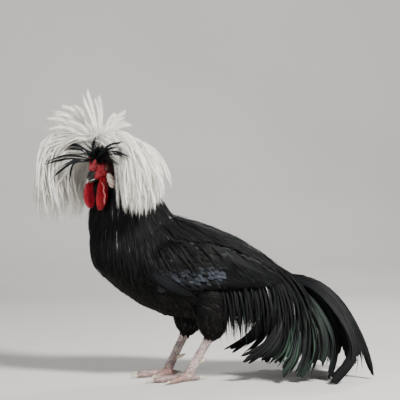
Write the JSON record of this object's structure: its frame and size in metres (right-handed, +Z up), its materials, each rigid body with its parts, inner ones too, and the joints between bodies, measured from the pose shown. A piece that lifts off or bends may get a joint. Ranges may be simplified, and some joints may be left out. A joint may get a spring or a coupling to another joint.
{
  "type": "polish crested chicken",
  "caption": "Standing crested cock with a round feather crest, hanging wattles, folded wings, drooping sickle tail and scaled legs.",
  "frame": {"origin": "middle of the bounding box, at floor level under the bird", "axes": "+X runs along the body from bill to tail, the bird faces -X; -Y is its left side; +Z is up"},
  "size_m": [0.565, 0.2264, 0.5032],
  "materials": {
    "black_feather": "satin black plumage with a green and blue gloss",
    "crest_feather": "soft matt white plumage",
    "red_skin": "fine-grained waxy red skin",
    "pale_skin": "smooth matt white skin",
    "bill_horn": "dark horn with pale edges",
    "pale_horn": "pale horn",
    "eye": "wet and glossy",
    "scaled_skin": "dry grey-pink scales"
  },
  "bodies": {
    "root": {"beak_lower": "bill_horn", "beak_upper": "bill_horn", "claw_left_hind": "pale_horn", "claw_left_inner": "pale_horn", "claw_left_middle": "pale_horn", "claw_left_outer": "pale_horn", "claw_right_hind": "pale_horn", "claw_right_inner": "pale_horn", "claw_right_middle": "pale_horn", "claw_right_outer": "pale_horn", "comb": "red_skin", "crest_back": "crest_feather", "crest_front": "black_feather", "crest_left": "crest_feather", "crest_right": "crest_feather", "earlobe_left": "pale_skin", "earlobe_right": "pale_skin", "eye_left": "eye", "eye_right": "eye", "foot_left": "scaled_skin", "foot_right": "scaled_skin", "head": "red_skin", "neck": "black_feather", "rump": "black_feather", "shank_left": "scaled_skin", "shank_right": "scaled_skin", "spur_left": "pale_horn", "spur_right": "pale_horn", "tail": "black_feather", "tail_left": "black_feather", "tail_right": "black_feather", "thigh_left": "black_feather", "thigh_right": "black_feather", "torso": "black_feather", "wattle_left": "red_skin", "wattle_right": "red_skin", "wing_left": "black_feather", "wing_right": "black_feather"}
  },
  "joints": []
}
